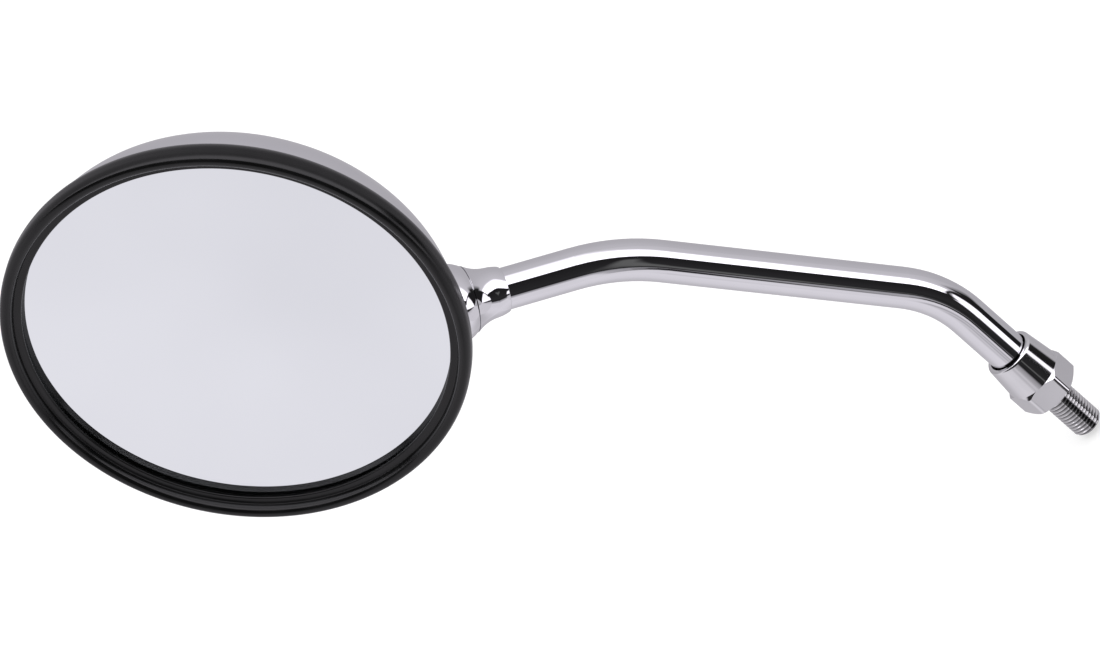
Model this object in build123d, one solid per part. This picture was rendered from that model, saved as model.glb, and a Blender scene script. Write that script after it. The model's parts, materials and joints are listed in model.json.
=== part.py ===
from build123d import *
import os
from math import asin, cos, degrees, radians, sin, sqrt, tan

os.makedirs("parts", exist_ok=True)

# Frame: origin at the centre of the lock nut's seat, on the stud's axis, with +Z up along the stem.
# The glass faces -Y. Lengths are in millimetres and angles in degrees.

# Stem: one bent tube in an upright plane
stem_d = 12.5
stem_wall = 2.0
low_run = 51.6  # nut seat to the corner of the lower bend
middle_run = 104.0  # from corner to corner
upper_run = 35.5  # corner of the upper bend to the collar's mouth
low_bend_angle = 31.5
upper_bend_angle = 22.5
low_bend_r = 45.0
upper_bend_r = 70.0
stem_heading_angle = 32.5  # turn of the stem's plane from -X towards -Y

# Stud, a metric fine thread as plain cylinders: crest diameter where free, pitch diameter in the nut
thread_d = 10.0
thread_pitch = 1.25
stud_reach = 17.4  # below the nut seat
stud_chamfer = 1.0
spigot_length = 20.0  # the part of a stud inside the tube
braze_gap = 0.05
running_gap = 0.05

# Lock nut with a skirt that hides the end of the tube
nut_flats = 18.0
nut_corner_r = 1.6  # rounding between the flats
nut_hex_height = 9.0
nut_height = 20.4
nut_chamfer_face_d = 15.4
nut_chamfer_angle = 30.0  # of the seat
nut_ledge_angle = 45.0  # of the corners under the skirt
skirt_swell = 0.15  # skirt's foot beyond the flats
skirt_gap = 0.5  # between skirt and tube
skirt_mouth_wall = 1.25
skirt_lip_r = 0.8
nut_end_gap = 1.8  # nut's inner step to the tube's end
nut_turn_angle = 21.0  # a corner's direction from +X

# Head: a round glass in a rubber bezel on a pressed bowl. Heights are from the bezel's middle plane.
glass_pitch_angle = 2.2  # the glass looks this much above the level
glass_d = 132.8
glass_thickness = 2.0
glass_curve_r = 1200.0
glass_edge_height = -2.25  # rim of the glass's front face
bezel_wall = 2.15  # rubber outside the glass's edge
bezel_cover = 4.1  # reach of the lip over the glass
bead_r = 1.85  # inner bead, lying on the glass
bead_height = -0.45  # its centre
roll_r = 1.7  # outer roll, along the front
roll_height = 1.7  # its centre
roll_inset = 0.36  # roll inside the widest part of the side
roll_inner_angle = 69.0  # from the front, where the wall down to the bead leaves the roll
roll_shoulder_angle = 54.0  # where the side leaves it
bezel_side_height = 0.3  # top of the widest part
bezel_side_depth = 1.2  # where the side draws in to the back
bezel_hook = 0.6  # rubber behind the flange
bezel_back_width = 0.7
bezel_relief = 0.7  # room in the hook round the dome
fit_gap = 0.05
pad_margin = 1.2  # pad's edge inside the bowl
pad_thickness = 0.8
glue_line = 0.02

# Shell
shell_wall = 0.8
flange_width = 0.9  # the flange is as wide as the glass, and the bowl narrower by this
bowl_depth = 31.8  # from the flange's front to the back of the bowl
bowl_knuckle_r = 23.0
bowl_flat_r = 1.5  # flat at the middle of the back

# Ball joint, on the neck's axis
ball_d = 15.0
ball_from_side = 6.65  # ball centre inside the bowl's side
dome_setback = 3.6  # dome behind the bezel's middle plane
shank_d = 7.0
shank_blend = 1.0
ball_flat = 0.7  # height taken off the ball's blind side
dome_d = 24.6
dome_hole_d = 13.2
dome_blend = 1.2
swivel_gap = 0.1  # ball to seats, seats to dome and strap
outer_seat_angles = (38.0, 80.0)  # from the neck's axis
inner_seat_angles = (108.0, 158.0)
inner_seat_wall = 1.5

# Bell collar
bell_gap = 0.08  # to the dome
bell_edge_angle = 53.0  # from the neck's axis
bell_edge = 0.12  # thickness of the bell's edge
bell_rise = 5.9  # collar's mouth above the dome
bell_waist_wall = 1.2
bell_waist_reach = 3.8  # below the mouth
bell_mouth_wall = 0.45
bell_mouth_r = 0.3  # rounding of the mouth
bell_socket = 4.0  # depth that the tube enters the collar
web_gap = 0.1  # spigot in the collar's web

# Clamp: a dished strap on two studs
strap_thickness = 2.0
strap_level = 4.4  # strap's upper face behind the ball centre
cup_wall = 1.2
cup_hole_d = 6.0
ear_r = 5.5
clamp_spacing = 34.0
clamp_stud_d = 4.0
clamp_stud_reach = 17.4  # behind the ball centre
clamp_hole_gap = 0.3
disc_d = 8.4
disc_thickness = 0.5
disc_cone = 0.4
washer_d = 9.0
washer_thickness = 0.8
clamp_nut_flats = 7.0
clamp_nut_height = 4.0

# Radii that follow from the sizes above
stem_r = stem_d / 2
bore_r = stem_r - stem_wall
spigot_r = bore_r - braze_gap
pitch_r = thread_d / 2 - 0.3248 * thread_pitch
tube_start = nut_hex_height + nut_end_gap
ball_r = ball_d / 2
dome_r = dome_d / 2
dome_inner_r = dome_r - shell_wall
glass_r = glass_d / 2
bowl_r = glass_r - flange_width
flange_front = glass_edge_height - glass_thickness - fit_gap
flange_back = flange_front - shell_wall
ball_inset = bowl_r - ball_from_side
ball_depth = dome_r + dome_setback
neck_reach = dome_r + bell_rise
cup_inner_r = ball_r + inner_seat_wall + 2 * swivel_gap
cup_outer_r = cup_inner_r + cup_wall
clamp_r = clamp_stud_d / 2
clamp_hole_r = clamp_r + clamp_hole_gap


def heading(angle):
    """Direction in the stem's plane, at an angle from +Z towards the head."""
    lean = sin(radians(angle))
    return Vector(
        -lean * cos(radians(stem_heading_angle)),
        -lean * sin(radians(stem_heading_angle)),
        cos(radians(angle)),
    )


# Corners of the stem, and the two planes that carry the head and the ball joint
neck_in = heading(low_bend_angle + upper_bend_angle)
neck_out = neck_in * -1
low_corner = Vector(0, 0, low_run)
upper_corner = low_corner + heading(low_bend_angle) * middle_run
neck_mouth = upper_corner + neck_in * upper_run
ball_centre = neck_mouth + neck_in * neck_reach
glass_normal = Vector(0, -cos(radians(glass_pitch_angle)), sin(radians(glass_pitch_angle)))
neck_slope = -neck_out.dot(glass_normal)  # sine of the angle between the neck and the glass
outward = (neck_out + glass_normal * neck_slope).normalized()
head_centre = ball_centre - outward * ball_inset + glass_normal * ball_depth
head_plane = Plane(head_centre, x_dir=outward * -1, z_dir=glass_normal)
across = glass_normal.cross(outward)
neck_plane = Plane(ball_centre, x_dir=across, z_dir=neck_out)
dome_plane = Plane(ball_centre, x_dir=neck_in, z_dir=across)


def lathe(*edges):
    """Turn a closed profile, drawn as (radius, height), about the Z axis."""
    return revolve(Plane.XZ * make_face(edges), axis=Axis.Z)


def lathe_points(*points):
    return lathe(*Polyline(*points, close=True).edges())


def polar(radius, angle):
    """A profile point on a circle about the origin, at an angle from the axis."""
    return (radius * sin(radians(angle)), radius * cos(radians(angle)))


def sphere_arc(radius, start, stop):
    middle = (start + stop) / 2
    return ThreePointArc(polar(radius, start), polar(radius, middle), polar(radius, stop))


def spherical_ring(inner_r, outer_r, start, stop):
    """The zone between two concentric spheres, cut by two cones from their centre."""
    return lathe(
        Line(polar(inner_r, start), polar(outer_r, start)),
        sphere_arc(outer_r, start, stop),
        Line(polar(outer_r, stop), polar(inner_r, stop)),
        sphere_arc(inner_r, stop, start),
    )


def rod(radius, low, high):
    return Pos(0, 0, low) * Cylinder(radius, high - low, align=(Align.CENTER, Align.CENTER, Align.MIN))


def round_rim(turned, height, size):
    """Round the outermost edge of a turned piece at a height on its axis."""
    rims = [e for e in turned.edges().filter_by(GeomType.CIRCLE) if abs(e.arc_center.Z - height) < 0.001]
    return fillet(max(rims, key=lambda e: e.radius), size)


def hex_prism(flats, low, high, corner_r=0):
    outline = RegularPolygon(flats / 2, 6, major_radius=False)
    if corner_r:
        outline = fillet(outline.vertices(), corner_r)
    return Pos(0, 0, low) * extrude(outline, high - low)


def stem_tube():
    """A ring swept up the straight runs and tangent bends."""
    path = FilletPolyline(
        Vector(0, 0, tube_start),
        low_corner,
        upper_corner,
        neck_mouth + neck_in * bell_socket,
        radius=[low_bend_r, upper_bend_r],
    )
    ring = Circle(stem_r) - Circle(bore_r)
    return sweep(Pos(0, 0, tube_start) * ring, path=path)


def threaded_stud():
    end = -stud_reach
    crest = lathe_points(
        (0, end),
        (thread_d / 2 - stud_chamfer, end),
        (thread_d / 2, end + stud_chamfer),
        (thread_d / 2, 0),
        (0, 0),
    )
    in_nut = rod(pitch_r, 0, tube_start)
    return crest + in_nut + rod(spigot_r, tube_start, tube_start + spigot_length)


def lock_nut():
    """Chamfered hex below, tapered skirt above, bored for the stud and then for the tube."""
    corner_r = nut_flats / 2 / cos(radians(30))
    skirt_r = nut_flats / 2 + skirt_swell
    face_r = nut_chamfer_face_d / 2
    seat_rise = (corner_r - face_r) * tan(radians(nut_chamfer_angle))
    ledge_drop = (corner_r - skirt_r) * tan(radians(nut_ledge_angle))
    turned = lathe_points(
        (0, 0),
        (face_r, 0),
        (corner_r, seat_rise),
        (corner_r, nut_hex_height - ledge_drop),
        (skirt_r, nut_hex_height),
        (0, nut_hex_height),
    )
    bore = stem_r + skirt_gap
    mouth_r = bore + skirt_mouth_wall
    skirt = lathe_points(
        (0, nut_hex_height),
        (skirt_r, nut_hex_height),
        (mouth_r, nut_height),
        (0, nut_height),
    )
    skirt = round_rim(skirt, nut_height, skirt_lip_r)
    nut = (turned & hex_prism(nut_flats, 0, nut_hex_height, nut_corner_r)) + skirt
    nut -= rod(pitch_r + running_gap, 0, nut_hex_height)
    nut -= rod(bore, nut_hex_height, nut_height)
    return Rot(0, 0, nut_turn_angle) * nut


def ball_stud():
    """Ball, slim shank through the dome, and a spigot in the tube. Drawn on the neck's axis."""
    shoulder = neck_reach - bell_socket
    ball = Sphere(ball_r) - rod(ball_d, -ball_d, ball_flat - ball_r)
    ball += rod(shank_d / 2, 0, shoulder - web_gap)
    joint = ball.edges().filter_by(GeomType.CIRCLE).filter_by(lambda e: abs(e.radius - shank_d / 2) < 1e-4)
    ball = fillet(joint.sort_by(Axis.Z)[0], shank_blend)
    spigot = rod(spigot_r, shoulder - web_gap, shoulder + spigot_length)
    return neck_plane * (ball + spigot)


def bell_collar():
    """Flared collar: it leaves the dome smoothly, draws in to the tube, and is hollow below its web."""
    under_r = dome_r + bell_gap
    web_r = spigot_r + web_gap
    web_angle = degrees(asin(web_r / under_r))
    socket_r = stem_r + braze_gap
    floor = neck_reach - bell_socket
    waist = (socket_r + bell_waist_wall, neck_reach - bell_waist_reach)
    mouth = (socket_r + bell_mouth_wall, neck_reach)
    tip = polar(under_r, bell_edge_angle)
    rim = polar(under_r + bell_edge, bell_edge_angle)
    flare = TangentArc(rim, waist, tangent=(-cos(radians(bell_edge_angle)), sin(radians(bell_edge_angle))))
    collar = lathe(
        sphere_arc(under_r, web_angle, bell_edge_angle),
        Line(tip, rim),
        flare,
        TangentArc(waist, mouth, tangent=flare % 1),
        Line(mouth, (socket_r, neck_reach)),
        Line((socket_r, neck_reach), (socket_r, floor)),
        Line((socket_r, floor), (web_r, floor)),
        Line((web_r, floor), polar(under_r, web_angle)),
    )
    return neck_plane * round_rim(collar, neck_reach, bell_mouth_r)


def outer_seat():
    return neck_plane * spherical_ring(ball_r + swivel_gap, dome_inner_r - swivel_gap, *outer_seat_angles)


def inner_seat():
    inner = ball_r + swivel_gap
    return neck_plane * spherical_ring(inner, inner + inner_seat_wall, *inner_seat_angles)


def bowl(inset):
    """Solid bowl, or its hollow when inset by the wall: a knuckle arc, a crown arc and a small flat."""
    radius = bowl_r - inset
    depth = bowl_depth - inset
    knuckle = bowl_knuckle_r - inset
    run = radius - knuckle - bowl_flat_r
    crown = (run**2 + depth**2 - knuckle**2) / (2 * (depth - knuckle))
    rise = crown - depth
    share = crown / (crown - knuckle)
    tangent_point = (bowl_flat_r + run * share, flange_front + rise - rise * share)
    flat = Line((0, flange_front - depth), (bowl_flat_r, flange_front - depth))
    return lathe(
        Line((0, flange_front), (radius, flange_front)),
        TangentArc((radius, flange_front), tangent_point, tangent=(0, -1)),
        TangentArc(flat @ 1, tangent_point, tangent=(1, 0)),
        flat,
        Line(flat @ 0, (0, flange_front)),
    )


def with_dome(vessel, radius, blend):
    """Join a sphere about the ball, cut level with the flange, to a bowl and round their corner."""
    in_front = head_plane * rod(glass_r, flange_front, flange_front + dome_d)
    joined = vessel + (dome_plane * Sphere(radius) - in_front)
    corner = [e for e in joined.edges() if abs((e @ 0.5 - ball_centre).length - radius) < 0.001]
    return fillet(corner, blend)


def shell():
    """Pressed bowl with an outward flange and a dome in its side for the ball joint."""
    flange = rod(glass_r, flange_back, flange_front)
    outside = with_dome(head_plane * bowl(0), dome_r, dome_blend) + head_plane * flange
    inside = with_dome(head_plane * bowl(shell_wall), dome_inner_r, dome_blend + shell_wall)
    return outside - inside - neck_plane * rod(dome_hole_d / 2, 0, 2 * dome_r)


def glass_height(radius):
    """Height of the glass's front face, a shallow sphere."""
    return glass_edge_height + sqrt(glass_curve_r**2 - radius**2) - sqrt(glass_curve_r**2 - glass_r**2)


def curved_disc(radius, front, thickness):
    """A disc between two equal spheres, with its front face set back from the glass's front."""
    sphere = Pos(0, 0, glass_height(0) - glass_curve_r) * Rot(90, 0, 0) * Sphere(glass_curve_r)
    blank = rod(radius, glass_edge_height - bowl_depth, glass_height(0) + thickness)
    return (blank & Pos(0, 0, -front) * sphere) - Pos(0, 0, -front - thickness) * sphere


def mirror_glass():
    return head_plane * curved_disc(glass_r, 0, glass_thickness)


def backing_pad():
    radius = bowl_r - shell_wall - pad_margin
    return head_plane * curved_disc(radius, glass_thickness + glue_line, pad_thickness)


def bezel():
    """Rubber channel: a bead lying on the glass, an outer roll, and a hook behind the flange."""
    groove_r = glass_r + fit_gap
    outer_r = groove_r + bezel_wall
    hook_r = bowl_r + fit_gap
    hook_level = flange_back - fit_gap
    back_level = hook_level - bezel_hook
    lip_r = glass_r - bezel_cover
    bead_at = Vector(lip_r + bead_r, bead_height)
    foot = Vector(bead_at.X, glass_height(lip_r) + fit_gap)
    roll_at = Vector(outer_r - roll_inset - roll_r, roll_height)
    shoulder = roll_at + Vector(*polar(roll_r, roll_shoulder_angle))
    under_foot = Pos(foot) * Rectangle(2 * bead_r, 2 * bead_r, align=(Align.CENTER, Align.MAX))
    bead = Pos(bead_at) * Circle(bead_r) - under_foot
    roll = Pos(roll_at) * Circle(roll_r)
    lip = Polyline(foot, bead_at, roll_at + Vector(*polar(roll_r, -roll_inner_angle)), shoulder)
    side = TangentArc((outer_r, bezel_side_height), shoulder, tangent=(0, 1))
    wall = Line(side @ 0, (outer_r, -bezel_side_depth))
    draw_in = TangentArc(wall @ 1, (hook_r + bezel_back_width, back_level), tangent=(0, -1))
    back = Polyline(
        draw_in @ 1,
        (hook_r, back_level),
        (hook_r, hook_level),
        (groove_r, hook_level),
        (groove_r, glass_height(glass_r) + fit_gap),
        lip @ 0,
    )
    section = make_face([*lip.edges(), side, wall, draw_in, *back.edges()]) + bead + roll
    ring = head_plane * revolve(Plane.XZ * section, axis=Axis.Z)
    return ring - dome_plane * Sphere(dome_r + bezel_relief)


def clamp_places():
    return Locations((-clamp_spacing / 2, 0), (clamp_spacing / 2, 0)).locations


def clamp_strap():
    """An eye-shaped strap with a spherical cup pressed into its middle."""
    top = -strap_level
    middle = Circle(sqrt(cup_outer_r**2 - strap_level**2))
    outline = middle + [place * Circle(ear_r) for place in clamp_places()]
    strap = Pos(0, 0, top - strap_thickness) * extrude(make_hull(outline.edges()), strap_thickness)
    cup = Sphere(cup_outer_r) & rod(cup_outer_r, -cup_outer_r, top)
    strap = strap + cup - Sphere(cup_inner_r) - rod(cup_hole_d / 2, -2 * cup_outer_r, 0)
    hole = rod(clamp_hole_r, -2 * cup_outer_r, 0)
    return neck_plane * (strap - [place * hole for place in clamp_places()])


def on_clamps(piece):
    """One copy of a piece on each clamp stud."""
    return neck_plane * Part([place * solid for place in clamp_places() for solid in piece.solids()])


def clamp_studs():
    """Studs welded to the inside of the shell, so their ends take the bowl's form."""
    inside = head_plane * bowl(shell_wall)
    return on_clamps(rod(clamp_r, -clamp_stud_reach, dome_r)) & inside


def disc_springs():
    """Two disc springs on each stud, with their hollow sides facing."""
    height = disc_cone + disc_thickness
    hole = clamp_hole_r
    edge = disc_d / 2
    upper = lathe_points((hole, 0), (edge, -disc_cone), (edge, -height), (hole, -disc_thickness))
    lower = mirror(upper, about=Plane.XY.offset(-height))
    return on_clamps(Pos(0, 0, -strap_level - strap_thickness) * Part([upper.solid(), lower.solid()]))


def washer_level():
    return -strap_level - strap_thickness - 2 * (disc_cone + disc_thickness)


def clamp_washers():
    low = washer_level() - washer_thickness
    ring = rod(washer_d / 2, low, washer_level()) - rod(clamp_hole_r, low, washer_level())
    return on_clamps(ring)


def clamp_nuts():
    high = washer_level() - washer_thickness
    low = high - clamp_nut_height
    nut = hex_prism(clamp_nut_flats, low, high) - rod(clamp_r + fit_gap, low, high)
    return on_clamps(nut)


PIECES = (
    stem_tube,
    threaded_stud,
    lock_nut,
    ball_stud,
    bell_collar,
    outer_seat,
    inner_seat,
    shell,
    mirror_glass,
    backing_pad,
    bezel,
    clamp_strap,
    clamp_studs,
    disc_springs,
    clamp_washers,
    clamp_nuts,
)

for make in PIECES:
    export_step(make(), f"parts/{make.__name__}.step")
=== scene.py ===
# %% [markdown]
# # A round motorcycle mirror on a bent chrome stem
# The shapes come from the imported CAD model, which is loaded as a fixed frame. This lesson gives every
# piece its finish, remakes the stud with a real screw thread and the rubber bezel with a finer section,
# and then lights and frames the mirror as in a studio picture. The frame must be loaded first, because
# everything that follows is placed by it.

# %% Load the frame
import bpy
import json
from math import cos, pi, radians, sin
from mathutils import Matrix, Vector


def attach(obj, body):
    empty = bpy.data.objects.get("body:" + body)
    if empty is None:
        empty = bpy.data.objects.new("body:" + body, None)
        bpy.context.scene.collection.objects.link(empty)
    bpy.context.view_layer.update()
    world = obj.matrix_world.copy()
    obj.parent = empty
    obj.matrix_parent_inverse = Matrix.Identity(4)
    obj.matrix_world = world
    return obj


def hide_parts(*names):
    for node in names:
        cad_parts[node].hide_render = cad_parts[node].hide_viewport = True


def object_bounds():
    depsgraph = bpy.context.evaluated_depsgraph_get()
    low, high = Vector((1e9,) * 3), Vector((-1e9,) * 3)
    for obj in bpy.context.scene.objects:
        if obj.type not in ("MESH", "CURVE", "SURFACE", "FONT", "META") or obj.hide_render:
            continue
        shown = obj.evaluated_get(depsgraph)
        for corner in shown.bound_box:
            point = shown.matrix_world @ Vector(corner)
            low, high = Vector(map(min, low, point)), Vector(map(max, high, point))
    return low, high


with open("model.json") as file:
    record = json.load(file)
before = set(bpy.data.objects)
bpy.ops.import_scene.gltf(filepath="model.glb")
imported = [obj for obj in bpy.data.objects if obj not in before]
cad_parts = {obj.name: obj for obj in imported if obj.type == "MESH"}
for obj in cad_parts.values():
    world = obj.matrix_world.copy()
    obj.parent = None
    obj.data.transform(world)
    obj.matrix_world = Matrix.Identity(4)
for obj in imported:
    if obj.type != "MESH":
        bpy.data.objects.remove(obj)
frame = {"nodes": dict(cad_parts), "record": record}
nodes = frame["nodes"]
cad_box = [list(corner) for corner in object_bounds()]
scene = bpy.context.scene

# %% [markdown]
# ## Small tools for modelling
# Operators act on whatever is selected, and the loaded nodes are still selected. Each new piece
# therefore starts from an empty selection. Two helpers choose what is selected, a third applies a
# modifier, and a fourth names the piece and puts its object at the origin. The finished piece is then a
# plain mesh.

# %% Helpers
MM = 0.001
WELD = 0.001 * MM


def clear_selection():
    if bpy.context.mode != "OBJECT":
        bpy.ops.object.mode_set(mode="OBJECT")
    bpy.ops.object.select_all(action="DESELECT")


def make_active(obj):
    clear_selection()
    obj.select_set(True)
    bpy.context.view_layer.objects.active = obj


def apply_modifier(obj, kind, **settings):
    make_active(obj)
    modifier = obj.modifiers.new(kind.title(), kind)
    for key, value in settings.items():
        setattr(modifier, key, value)
    bpy.ops.object.modifier_apply(modifier=modifier.name)


def settle(obj, name):
    """Name a new piece and move its place from the object into the mesh."""
    make_active(obj)
    obj.name = name
    bpy.ops.object.transform_apply(location=True, rotation=True, scale=True)
    print(name, len(obj.data.polygons), "faces")
    return obj


clear_selection()
print("selection cleared")

# %% [markdown]
# ## Shared surface effects
# Polished metal is never perfectly even: buffing leaves a faint haze and very low ripples. Rubber,
# nylon and foam have a fine moulded grain. Both effects are used by several finishes, so each is a
# shader node group with its own inputs. They read Object coordinates, which are metres here, so a scale
# of 1000 is about one blob in a millimetre.

# %% Node group for buffed metal


def new_group(name, inputs, outputs):
    group = bpy.data.node_groups.new(name, "ShaderNodeTree")
    for label, default in inputs.items():
        socket = group.interface.new_socket(label, in_out="INPUT", socket_type="NodeSocketFloat")
        socket.default_value = default
    for label in outputs:
        group.interface.new_socket(label, in_out="OUTPUT", socket_type="NodeSocketFloat")
    start = group.nodes.new("NodeGroupInput")
    end = group.nodes.new("NodeGroupOutput")
    return group, start, end


def add_noise(tree, vector, scale, detail):
    noise = tree.nodes.new("ShaderNodeTexNoise")
    noise.inputs["Detail"].default_value = detail
    tree.links.new(vector, noise.inputs["Vector"])
    if isinstance(scale, float):
        noise.inputs["Scale"].default_value = scale
    else:
        tree.links.new(scale, noise.inputs["Scale"])
    return noise.outputs["Fac"]


def add_range(tree, value, low, high, from_low=0.3, from_high=0.7):
    scaled = tree.nodes.new("ShaderNodeMapRange")
    tree.links.new(value, scaled.inputs["Value"])
    limits = {"From Min": from_low, "From Max": from_high, "To Min": low, "To Max": high}
    for label, number in limits.items():
        if isinstance(number, (int, float)):
            scaled.inputs[label].default_value = number
        else:
            tree.links.new(number, scaled.inputs[label])
    return scaled.outputs["Result"]


buffed, start, end = new_group(
    "buffed_metal", {"Haze Scale": 40.0, "Clear": 0.03, "Hazy": 0.07}, ("Roughness", "Ripple")
)
place = buffed.nodes.new("ShaderNodeTexCoord").outputs["Object"]
haze = add_noise(buffed, place, start.outputs["Haze Scale"], 6.0)
buffed.links.new(
    add_range(buffed, haze, start.outputs["Clear"], start.outputs["Hazy"]), end.inputs["Roughness"]
)
buffed.links.new(add_noise(buffed, place, 90.0, 1.0), end.inputs["Ripple"])
print("group:", buffed.name)

# %% Node group for moulded grain
grain, start, end = new_group(
    "moulded_grain", {"Grain Scale": 2500.0, "Fine": 0.4, "Rough": 0.6}, ("Roughness", "Height", "Dust")
)
place = grain.nodes.new("ShaderNodeTexCoord").outputs["Object"]
pores = add_noise(grain, place, start.outputs["Grain Scale"], 4.0)
grain.links.new(pores, end.inputs["Height"])
patches = add_noise(grain, place, 60.0, 5.0)
grain.links.new(
    add_range(grain, patches, start.outputs["Fine"], start.outputs["Rough"]), end.inputs["Roughness"]
)
grain.links.new(add_range(grain, patches, 0.0, 1.0, 0.45, 0.75), end.inputs["Dust"])
print("group:", grain.name)

# %% [markdown]
# ## Finishes
# The record names a material slot for each node. Chrome plate is a metal with a neutral colour a little
# darker than silver, which keeps its dark reflections deep. The zinc-plated, spring-steel, nylon and
# foam pieces are hidden in the shell, but they are finished too, because the head may be opened or cut
# away.

# %% Material makers


def new_material(name):
    material = bpy.data.materials.new(name)
    material.use_nodes = True
    tree = material.node_tree
    return material, tree, tree.nodes["Principled BSDF"]


def place_group(tree, group, **values):
    node = tree.nodes.new("ShaderNodeGroup")
    node.node_tree = group
    for label, value in values.items():
        node.inputs[label.replace("_", " ")].default_value = value
    return node


def add_bump(tree, shader, height, strength, distance):
    bump = tree.nodes.new("ShaderNodeBump")
    bump.inputs["Strength"].default_value = strength
    bump.inputs["Distance"].default_value = distance
    tree.links.new(height, bump.inputs["Height"])
    tree.links.new(bump.outputs["Normal"], shader.inputs["Normal"])


def add_mix(tree, fac, first, second):
    mix = tree.nodes.new("ShaderNodeMix")
    mix.data_type = "RGBA"
    mix.inputs["A"].default_value = (*first, 1.0)
    mix.inputs["B"].default_value = (*second, 1.0)
    tree.links.new(fac, mix.inputs["Factor"])
    return mix.outputs["Result"]


def metal_finish(name, light, dark, clear, hazy, ripple):
    material, tree, shader = new_material(name)
    shader.inputs["Metallic"].default_value = 1.0
    marks = place_group(tree, buffed, Haze_Scale=55.0, Clear=clear, Hazy=hazy)
    tree.links.new(marks.outputs["Roughness"], shader.inputs["Roughness"])
    tree.links.new(add_mix(tree, marks.outputs["Ripple"], dark, light), shader.inputs["Base Color"])
    add_bump(tree, shader, marks.outputs["Ripple"], 0.3, ripple)
    return material


def moulded_finish(name, clean, dusty, scale, fine, rough, depth):
    material, tree, shader = new_material(name)
    skin = place_group(tree, grain, Grain_Scale=scale, Fine=fine, Rough=rough)
    tree.links.new(skin.outputs["Roughness"], shader.inputs["Roughness"])
    tree.links.new(add_mix(tree, skin.outputs["Dust"], clean, dusty), shader.inputs["Base Color"])
    add_bump(tree, shader, skin.outputs["Height"], 0.35, depth)
    return material


print("makers ready")

# %% Finishes of the record's slots
chrome = metal_finish("chrome_plate", (0.72, 0.72, 0.735), (0.68, 0.68, 0.70), 0.015, 0.045, 0.00001)
zinc = metal_finish("zinc_plate", (0.72, 0.71, 0.66), (0.58, 0.58, 0.57), 0.28, 0.42, 0.00003)
spring = metal_finish("spring_steel", (0.34, 0.35, 0.38), (0.24, 0.25, 0.27), 0.25, 0.4, 0.00003)
nut_plate = metal_finish("nut_plate", (0.72, 0.72, 0.725), (0.62, 0.62, 0.63), 0.03, 0.11, 0.00003)
thread_steel = metal_finish("thread_steel", (0.72, 0.72, 0.72), (0.64, 0.64, 0.64), 0.05, 0.11, 0.00002)
rubber = moulded_finish(
    "bezel_rubber", (0.003, 0.003, 0.0031), (0.0065, 0.0065, 0.0068), 3000.0, 0.17, 0.26, 0.00002
)
rubber.node_tree.nodes["Principled BSDF"].inputs["Specular IOR Level"].default_value = 0.29
nylon = moulded_finish("seat_nylon", (0.8, 0.78, 0.7), (0.74, 0.71, 0.62), 1800.0, 0.38, 0.5, 0.00002)
foam = moulded_finish("pad_foam", (0.03, 0.03, 0.03), (0.06, 0.06, 0.06), 900.0, 0.8, 0.95, 0.0002)
print("finishes:", [m.name for m in (chrome, nut_plate, thread_steel, zinc, spring, rubber, nylon, foam)])

# %% [markdown]
# The mirror is silvered glass. A metal with almost no roughness under a clear coat gives the silver
# behind its glass. A very faint smear in the roughness keeps it from looking like a drawn gradient.

# %% Silvered glass
silvered, tree, shader = new_material("silvered_glass")
shader.inputs["Metallic"].default_value = 1.0
shader.inputs["Coat Weight"].default_value = 0.5
shader.inputs["Coat Roughness"].default_value = 0.0
smear = place_group(tree, buffed, Haze_Scale=12.0, Clear=0.0, Hazy=0.012)
tree.links.new(smear.outputs["Roughness"], shader.inputs["Roughness"])
place = tree.nodes.new("ShaderNodeTexCoord").outputs["Object"]
cloud = add_range(tree, add_noise(tree, place, 11.0, 2.0), 0.0, 1.0)
tint = add_mix(tree, cloud, (0.75, 0.775, 0.785), (0.80, 0.827, 0.835))
tree.links.new(tint, shader.inputs["Base Color"])
print("glass:", silvered.name)

# %% [markdown]
# Each CAD node now gets the finish that the record names for it. The lock nut is chromed too, but its
# plating is a little hazier than the stem's, so it gets a finish of its own.

# %% Paint the CAD nodes
slot_finish = {
    "chrome": chrome,
    "zinc_steel": zinc,
    "spring_steel": spring,
    "rubber": rubber,
    "mirror": silvered,
    "nylon": nylon,
    "foam": foam,
}
for part in frame["record"]["subparts"]:
    mesh = nodes[part["node"]].data
    mesh.materials.clear()
    mesh.materials.append(slot_finish[part["material_slot"]])
nodes["lock_nut"].data.materials[0] = nut_plate

# %% [markdown]
# ## The stud's screw thread
# The CAD stud is a plain cylinder. A thread is one small tooth carried round a helix, so the tooth's
# outline is drawn once and the Screw modifier turns it, rising one pitch in each turn, to the right.
# The flanks have the standard angle, and the crest is a little wider than the standard's, because
# plating fills it out. The helix is made too long and then cut flat by bisecting, and a bevelled
# cylinder trims its tip.

# %% Thread sizes
PITCH = 1.25 * MM
CREST_R = 5.0 * MM
ROOT_R = CREST_R - 0.5413 * PITCH
NECK_R = 4.594 * MM
SPIGOT_R = 4.2 * MM
TIP = -17.4 * MM
NUT_FACE = -0.05 * MM
TUBE_END = 10.8 * MM
SPIGOT_END = 30.8 * MM
TURNS = 17
STEPS = 72
ROOT_FLAT = 0.2 * PITCH
CREST_START = 0.5125 * PITCH
CREST_END = 0.6875 * PITCH
TIP_BEVEL = 1.0 * MM
OVERLAP = 0.2 * MM
HAIR = 0.01 * MM

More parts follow.
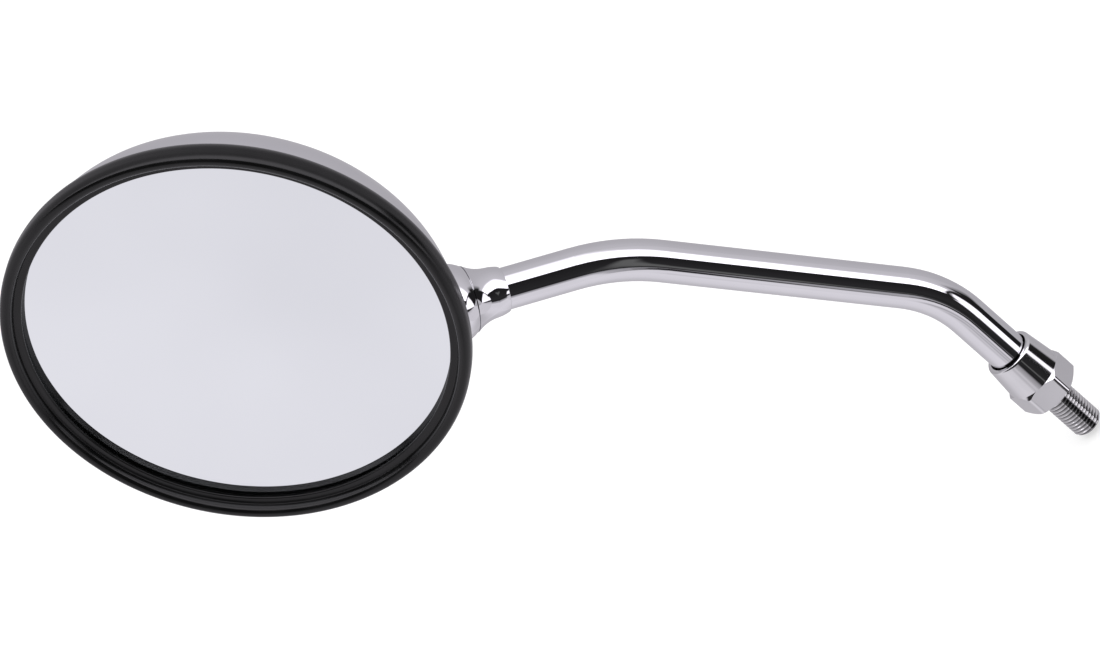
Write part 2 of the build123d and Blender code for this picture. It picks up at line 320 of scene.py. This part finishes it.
# %% Turn one tooth into a thread
clear_selection()
bpy.ops.mesh.primitive_circle_add(vertices=5, radius=CREST_R)
stud = bpy.context.object
low = TIP - 2 * PITCH
tooth = (
    (ROOT_R, low),
    (ROOT_R, low + ROOT_FLAT),
    (CREST_R, low + CREST_START),
    (CREST_R, low + CREST_END),
    (ROOT_R, low + PITCH),
)
for vertex, (radius, height) in zip(stud.data.vertices, tooth):
    vertex.co = (radius, 0.0, height)
bpy.ops.object.mode_set(mode="EDIT")
bpy.ops.mesh.select_mode(type="EDGE")
bpy.ops.mesh.select_all(action="DESELECT")
bpy.ops.object.mode_set(mode="OBJECT")
for edge in stud.data.edges:
    ends = {edge.vertices[0], edge.vertices[1]}
    edge.select = ends == {0, 4}
bpy.ops.object.mode_set(mode="EDIT")
bpy.ops.mesh.delete(type="EDGE")
bpy.ops.object.mode_set(mode="OBJECT")
apply_modifier(
    stud,
    "SCREW",
    axis="Z",
    angle=2 * pi,
    screw_offset=PITCH,
    iterations=TURNS,
    steps=STEPS,
    render_steps=STEPS,
    use_merge_vertices=True,
    merge_threshold=WELD,
)
print("helix:", len(stud.data.vertices), "points")

# %% Cut the helix flat at both ends
bpy.ops.object.mode_set(mode="EDIT")
bpy.ops.mesh.select_all(action="SELECT")
bpy.ops.mesh.remove_doubles(threshold=2 * WELD)
bpy.ops.mesh.bisect(plane_co=(0, 0, TIP), plane_no=(0, 0, -1), use_fill=True, clear_outer=True)
bpy.ops.mesh.select_all(action="SELECT")
bpy.ops.mesh.bisect(plane_co=(0, 0, NUT_FACE), plane_no=(0, 0, 1), use_fill=True, clear_outer=True)
bpy.ops.mesh.select_all(action="SELECT")
bpy.ops.mesh.normals_make_consistent(inside=False)
bpy.ops.object.mode_set(mode="OBJECT")
print("cut helix:", len(stud.data.polygons), "faces")

# %% Trim the tip and add the neck in the nut and the spigot in the tube


def turned_rod(steps, tip_bevel):
    """A cylinder with one radius for each step of height, drawn out from its lower end."""
    clear_selection()
    radius, bottom, top = steps[0]
    middle = (0, 0, (bottom + top) / 2)
    bpy.ops.mesh.primitive_cylinder_add(vertices=96, radius=radius, depth=top - bottom, location=middle)
    rod = bpy.context.object
    bpy.ops.object.transform_apply(location=True, rotation=False, scale=False)
    bpy.ops.object.mode_set(mode="EDIT")
    bpy.ops.mesh.select_mode(type="FACE")
    for step_r, step_low, step_top in steps[1:]:
        bpy.ops.mesh.select_all(action="DESELECT")
        bpy.ops.object.mode_set(mode="OBJECT")
        for face in rod.data.polygons:
            face.select = face.normal.z > 0.9 and face.center.z > step_low - HAIR
        bpy.ops.object.mode_set(mode="EDIT")
        bpy.ops.mesh.inset(thickness=radius - step_r)
        bpy.ops.mesh.extrude_region_move(TRANSFORM_OT_translate={"value": (0, 0, step_top - step_low)})
        radius = step_r
    if tip_bevel:
        bpy.ops.mesh.select_all(action="DESELECT")
        bpy.ops.object.mode_set(mode="OBJECT")
        for face in rod.data.polygons:
            face.select = face.normal.z < -0.9
        bpy.ops.object.mode_set(mode="EDIT")
        bpy.ops.mesh.bevel(offset=tip_bevel, segments=1, affect="EDGES")
    bpy.ops.object.mode_set(mode="OBJECT")
    return rod


trimmer = turned_rod([(CREST_R + HAIR, TIP - HAIR, 1 * MM)], TIP_BEVEL)
apply_modifier(stud, "BOOLEAN", operation="INTERSECT", object=trimmer, solver="EXACT")
bpy.data.objects.remove(trimmer)
shank = turned_rod([(NECK_R, NUT_FACE - OVERLAP, TUBE_END), (SPIGOT_R, TUBE_END, SPIGOT_END)], 0.0)
apply_modifier(stud, "BOOLEAN", operation="UNION", object=shank, solver="EXACT")
bpy.data.objects.remove(shank)
settle(stud, "screw_stud")
bpy.ops.object.shade_smooth_by_angle(angle=radians(25))

# %% [markdown]
# The thread's grooves get painted shade, so they are darker than the crests. The shader measures
# how far each point lies from the stud's axis and mixes in a painted shade colour towards the root.

# %% Paint shade into the grooves, then hand over
# Painted shade: a dark colour mixed into the thread's grooves, fading out towards the crests
GROOVE_SHADE = (0.24, 0.24, 0.24, 1.0)
UNSHADED_R = CREST_R - 0.15 * MM
tree = thread_steel.node_tree
shader = tree.nodes["Principled BSDF"]
plating = shader.inputs["Base Color"].links[0].from_socket
across = tree.nodes.new("ShaderNodeVectorMath")
across.operation = "MULTIPLY"
across.inputs[1].default_value = (1.0, 1.0, 0.0)
tree.links.new(tree.nodes.new("ShaderNodeTexCoord").outputs["Object"], across.inputs[0])
reach = tree.nodes.new("ShaderNodeVectorMath")
reach.operation = "LENGTH"
tree.links.new(across.outputs["Vector"], reach.inputs[0])
shade = tree.nodes.new("ShaderNodeMix")
shade.data_type = "RGBA"
shade.inputs["A"].default_value = GROOVE_SHADE
# Painted shade mask: 0 at the groove's root, 1 near the crest
unshaded = add_range(tree, reach.outputs["Value"], 0.0, 1.0, ROOT_R, UNSHADED_R)
tree.links.new(unshaded, shade.inputs["Factor"])
tree.links.new(plating, shade.inputs["B"])
tree.links.new(shade.outputs["Result"], shader.inputs["Base Color"])
stud.data.materials.clear()
stud.data.materials.append(thread_steel)
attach(stud, "stem")
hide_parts("threaded_stud")
print("stud:", len(stud.data.polygons), "faces in", thread_steel.name)

# %% [markdown]
# ## The rubber bezel
# The bezel is a rubber channel with the same section all the way round: a low lip over the edge of the
# glass, a steep wall, a high roll along the front, and a hook behind the shell's flange. The section is
# drawn once, from arcs, and the Screw modifier turns it through a full circle. The CAD ring has a round
# bead in place of the lip, and its facets show in soft highlights. The steps here are finer. A ball is
# then taken out of the hook, where the shell's dome bulges through it.

# %% The bezel's place in metres, and its section in millimetres from the head's centre
HEAD_CENTRE = (-127.612734 * MM, -66.978268 * MM, 210.176684 * MM)
HEAD_TURN = radians(87.8)
BALL_CENTRE = (-82.470243 * MM, -52.539339 * MM, 171.838645 * MM)
RELIEF_R = 13.0 * MM
GROOVE_R = 66.45
OUTER_R = 68.6
HOOK_R = 65.55
RING_STEPS = 288
# Circles of the section: distance from the axis, height over the rim's plane, radius
LIP_EDGE = (62.79, 0.075, 0.5)
CORNER = (64.235, 0.875, 0.3)
WALL = (68.924, 0.432, 4.4)
ROLL = (66.54, 1.7, 1.7)
SIDE = (64.0544, 0.3, 4.5456)
DRAW_IN = (63.02, -1.2, 5.58)


def arc(circle, start, stop, steps):
    """Points on a circle of the section, at angles from the front that grow outwards."""
    across, height, radius = circle
    angles = [radians(start + (stop - start) * step / steps) for step in range(steps + 1)]
    return [(across + radius * sin(angle), height + radius * cos(angle)) for angle in angles]


section = [(63.5, -1.98), (62.877, -1.409)]
section += arc(LIP_EDGE, -113, 0, 20) + arc(CORNER, 180, 96, 6) + arc(WALL, -84, -62, 8)
section += arc(ROLL, -58, 54, 28) + arc(SIDE, 61, 90, 8) + arc(DRAW_IN, 90, 144.6, 12)
section += [(HOOK_R, -5.75), (HOOK_R, -5.15), (GROOVE_R, -5.15), (GROOVE_R, -2.2)]
print("section:", len(section), "points")

# %% Turn the section and set the ring in its place
clear_selection()
bpy.ops.mesh.primitive_circle_add(vertices=len(section), radius=OUTER_R * MM)
bezel = bpy.context.object
for vertex, (radius, height) in zip(bezel.data.vertices, section):
    vertex.co = (radius * MM, 0.0, height * MM)
apply_modifier(
    bezel,
    "SCREW",
    axis="Z",
    angle=2 * pi,
    screw_offset=0.0,
    iterations=1,
    steps=RING_STEPS,
    render_steps=RING_STEPS,
    use_merge_vertices=True,
    merge_threshold=WELD,
)
bpy.ops.object.mode_set(mode="EDIT")
bpy.ops.mesh.select_all(action="SELECT")
bpy.ops.mesh.remove_doubles(threshold=WELD)
bpy.ops.mesh.normals_make_consistent(inside=False)
bpy.ops.object.mode_set(mode="OBJECT")
bezel.rotation_euler = (HEAD_TURN, 0, 0)
bezel.location = HEAD_CENTRE
settle(bezel, "rubber_bezel")

# %% Clear the dome, shade and hand over
clear_selection()
bpy.ops.mesh.primitive_uv_sphere_add(segments=96, ring_count=48, radius=RELIEF_R, location=BALL_CENTRE)
relief = bpy.context.object
apply_modifier(bezel, "BOOLEAN", operation="DIFFERENCE", object=relief, solver="EXACT")
bpy.data.objects.remove(relief)
make_active(bezel)
bpy.ops.object.shade_smooth_by_angle(angle=radians(20))
bezel.data.materials.clear()
bezel.data.materials.append(rubber)
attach(bezel, "head")
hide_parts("bezel")
print("bezel:", len(bezel.data.polygons), "faces")

# %% [markdown]
# ## Studio
# Chrome shows its surroundings and nothing else. The picture's dark band along the stem is the dark
# room beside the camera, the white stripe above it is a long soft box, and the pale lower side is a
# white table. The world paints these areas by direction, measured in the picture's own axes, so that
# they stay put when the view changes. Only reflections see them. Matt surfaces get even soft light, and
# the camera sees plain white. Two numbers give a direction: its height, in degrees round the picture's
# sideways axis, and how far it points to the right.

# %% World
PICTURE_RIGHT = (0.72656, 0.08115, -0.68229)
PICTURE_UP = (0.46588, 0.67171, 0.57599)
PICTURE_NEAR = (0.50504, -0.73636, 0.45024)
world = bpy.data.worlds.new("soft_studio")
scene.world = world
world.use_nodes = True
wt = world.node_tree
direction = wt.nodes.new("ShaderNodeTexCoord").outputs["Generated"]


def along(axis):
    dot = wt.nodes.new("ShaderNodeVectorMath")
    dot.operation = "DOT_PRODUCT"
    dot.inputs[1].default_value = axis
    wt.links.new(direction, dot.inputs[0])
    return dot.outputs["Value"]


def level_ramp(value, low, high, stops, tint=(1.0, 1.0, 1.0)):
    """Brightness by a number between two limits."""
    ramp = wt.nodes.new("ShaderNodeValToRGB")
    elements = ramp.color_ramp.elements
    while len(elements) < len(stops):
        elements.new(0.5)
    for element, (number, level) in zip(elements, stops):
        element.position = (number - low) / (high - low)
        element.color = (*(level * part for part in tint), 1.0)
    wt.links.new(add_range(wt, value, 0.0, 1.0, low, high), ramp.inputs["Fac"])
    return ramp.outputs["Color"]


def blend(mask, first, second):
    mix = wt.nodes.new("ShaderNodeMix")
    mix.data_type = "RGBA"
    wt.links.new(mask, mix.inputs["Factor"])
    wt.links.new(first, mix.inputs["A"])
    wt.links.new(second, mix.inputs["B"])
    return mix.outputs["Result"]


turn = wt.nodes.new("ShaderNodeMath")
turn.operation = "ARCTAN2"
wt.links.new(along(PICTURE_UP), turn.inputs[0])
wt.links.new(along(PICTURE_NEAR), turn.inputs[1])
degree = wt.nodes.new("ShaderNodeMath")
degree.operation = "DEGREES"
wt.links.new(turn.outputs["Value"], degree.inputs[0])
height = degree.outputs["Value"]
rightward = along(PICTURE_RIGHT)
print("directions ready")

# %% [markdown]
# The areas are painted one over the other, like layers of paint. Each layer has a mask, a number from 0
# to 1 that says where it covers what lies below. A mask over height times a mask over the rightward
# number is a patch. The patches give the stem's stripes their breaks: the table's edge leans over on
# the right, the dark room has a dim panel, the soft box ends at a dark post, and beyond the post stands
# a second light with a dark strip above it.

# %% Masks and plain greys


def by_height(stops):
    return level_ramp(height, -180, 180, stops)


def by_side(stops):
    return level_ramp(rightward, -1, 1, stops)


def rise(value, low, high):
    """A mask that grows from 0 at the first limit to 1 at the second."""
    return add_range(wt, value, 0.0, 1.0, low, high)


def fall(value, low, high):
    """A mask that shrinks from 1 at the first limit to 0 at the second."""
    return add_range(wt, value, 1.0, 0.0, low, high)


def both(first, second):
    """Where two masks overlap."""
    product = wt.nodes.new("ShaderNodeMath")
    product.operation = "MULTIPLY"
    wt.links.new(first, product.inputs[0])
    wt.links.new(second, product.inputs[1])
    return product.outputs["Value"]


def grey(level):
    colour = wt.nodes.new("ShaderNodeRGB")
    colour.outputs["Color"].default_value = (level, level, level, 1.0)
    return colour.outputs["Color"]


print("mask tools ready")

# %% Lean the table's edge
LEAN = 20.0
LEANING = [(0.485, 0.0), (0.52, 1.0), (0.535, 0.85), (0.57, 0.28), (0.62, 0.28), (0.70, 0.0)]
raised = wt.nodes.new("ShaderNodeMath")
raised.operation = "MULTIPLY_ADD"
wt.links.new(both(by_side(LEANING), fall(height, -30, -10)), raised.inputs[0])
raised.inputs[1].default_value = LEAN
wt.links.new(height, raised.inputs[2])
room_height = raised.outputs["Value"]
print("table's edge leans on the right by", LEAN, "degrees")

# %% Dark room, soft box and table
ROOM = [(-180, 0.30), (-140, 0.42), (-112, 0.55), (-90, 0.58), (-58, 0.56), (-52, 0.34)]
ROOM += [(-45, 0.26), (-41, 0.012), (-28, 0.018), (0, 0.013), (23, 0.01)]
ROOM += [(26, 1.6), (55, 1.6), (68, 0.47), (110, 0.38), (180, 0.30)]
RIGHT = [(-180, 0.50), (-60, 0.50), (-38, 0.40), (-33, 0.01), (-22, 0.01), (-17, 1.0), (46, 1.0)]
RIGHT += [(54, 0.01), (122, 0.01), (128, 0.42), (180, 0.3)]
COOL = (1.0, 0.967, 1.035)
room = level_ramp(room_height, -180, 180, ROOM, COOL)
right_side = level_ramp(height, -180, 180, RIGHT, COOL)
print("room and right side ready")

# %% Patches
STREAKS = [(-1, 0.55), (-0.05, 0.56), (0.05, 0.42), (0.14, 0.50), (0.22, 0.34), (0.29, 0.46)]
STREAKS += [(0.36, 0.30), (0.42, 0.56)]
TABLE = [(-84, 0.0), (-76, 1.0), (-56, 1.0), (-52, 0.0)]
PANEL_SIDE = [(0.58, 0.0), (0.603, 1.0), (0.625, 1.0), (0.645, 0.0)]
PANEL_HEIGHT = [(-46, 0.0), (-40, 1.0), (0, 1.0), (10, 0.0)]
STRIP_HEIGHT = [(77, 0.0), (89, 1.0), (113, 1.0), (125, 0.0)]
POST_SIDE = [(0.862, 0.0), (0.872, 1.0), (0.888, 1.0), (0.898, 0.0)]
POST_HEIGHT = [(2, 0.0), (8, 1.0), (80, 1.0), (90, 0.0)]
streaks = level_ramp(rightward, -1, 1, STREAKS, COOL)
on_table = level_ramp(room_height, -180, 180, TABLE)
panel = both(by_side(PANEL_SIDE), by_height(PANEL_HEIGHT))
strip = both(by_height(STRIP_HEIGHT), rise(rightward, 0.765, 0.845))
low_right = both(rise(rightward, 0.866, 0.88), fall(height, 2, 8))
far_right = rise(rightward, 0.88, 0.888)
post = both(by_side(POST_SIDE), by_height(POST_HEIGHT))
print("patches ready")

# %% Paint the layers
DIM = 0.09
BLACK = 0.012
painted = blend(on_table, room, streaks)
painted = blend(panel, painted, grey(DIM))
painted = blend(strip, painted, grey(BLACK))
painted = blend(low_right, painted, right_side)
painted = blend(far_right, painted, right_side)
painted = blend(post, painted, grey(BLACK))
print("layers painted")

# %% What each kind of ray sees
rays = wt.nodes.new("ShaderNodeLightPath")
seen = wt.nodes.new("ShaderNodeBackground")
seen.inputs["Color"].default_value = (1.0, 1.0, 1.0, 1.0)
seen.inputs["Strength"].default_value = 1.0
mirrored = wt.nodes.new("ShaderNodeBackground")
mirrored.inputs["Strength"].default_value = 1.6
wt.links.new(painted, mirrored.inputs["Color"])
choose = wt.nodes.new("ShaderNodeMixShader")
wt.links.new(rays.outputs["Is Glossy Ray"], choose.inputs["Fac"])
wt.links.new(seen.outputs["Background"], choose.inputs[1])
wt.links.new(mirrored.outputs["Background"], choose.inputs[2])
wt.links.new(choose.outputs["Shader"], wt.nodes["World Output"].inputs["Surface"])
print("rays sorted")

# %% [markdown]
# The floor is plain and white and takes the mirror's soft shadow. It lies just under the stud's tip.
# Reflections don't see it, because the world's pale lower half already stands for the table in them.

# %% Floor and soft key light
FLOOR_SIZE = 8.0
FLOOR_GAP = 2 * MM
clear_selection()
bpy.ops.mesh.primitive_plane_add(size=FLOOR_SIZE, location=(0, 0, cad_box[0][2] - FLOOR_GAP))
floor = bpy.context.object
floor.name = "floor"
floor.visible_glossy = False
paper, tree, shader = new_material("white_paper")
shader.inputs["Base Color"].default_value = (0.55, 0.55, 0.55, 1.0)
shader.inputs["Roughness"].default_value = 0.9
shader.inputs["Emission Color"].default_value = (1.0, 1.0, 1.0, 1.0)
shader.inputs["Emission Strength"].default_value = 0.5
floor.data.materials.append(paper)
bpy.ops.object.light_add(type="AREA", location=(0.3, -0.5, 1.4))
key = bpy.context.object
key.name = "soft_key"
key.data.size = 1.2
key.data.energy = 6.0
key.visible_glossy = False
KEY_AIM = Vector((-0.4, 0.45, -1.2))
key.rotation_euler = KEY_AIM.to_track_quat("-Z", "Y").to_euler()
view = scene.view_settings
view.view_transform = "Standard"
print("floor at", round(floor.location.z, 4))

# %% [markdown]
# ## Camera
# The picture was taken from far away with a long lens, so the stem's two sides stay almost parallel.
# The camera's place and turn come from matching the stem's line, the rim's ellipse and the stud in the
# picture, to within a pixel or two.

# %% Camera
turned = [radians(angle) for angle in (51.9863, 43.0230, 6.3726)]
bpy.ops.object.camera_add(location=(0.828176, -1.352915, 0.942324), rotation=turned)
camera = bpy.context.object
camera.name = "picture_camera"
camera.data.lens = 200.0
camera.data.sensor_width = 36.0
camera.data.clip_start = 0.05
camera.data.clip_end = 50.0
scene.camera = camera
print("camera", [round(v, 3) for v in camera.location])

# %% [markdown]
# ## Sizes
# The CAD model's box, cad_box, is measured when the frame is loaded.

# %% End of the scene
print("scene built")
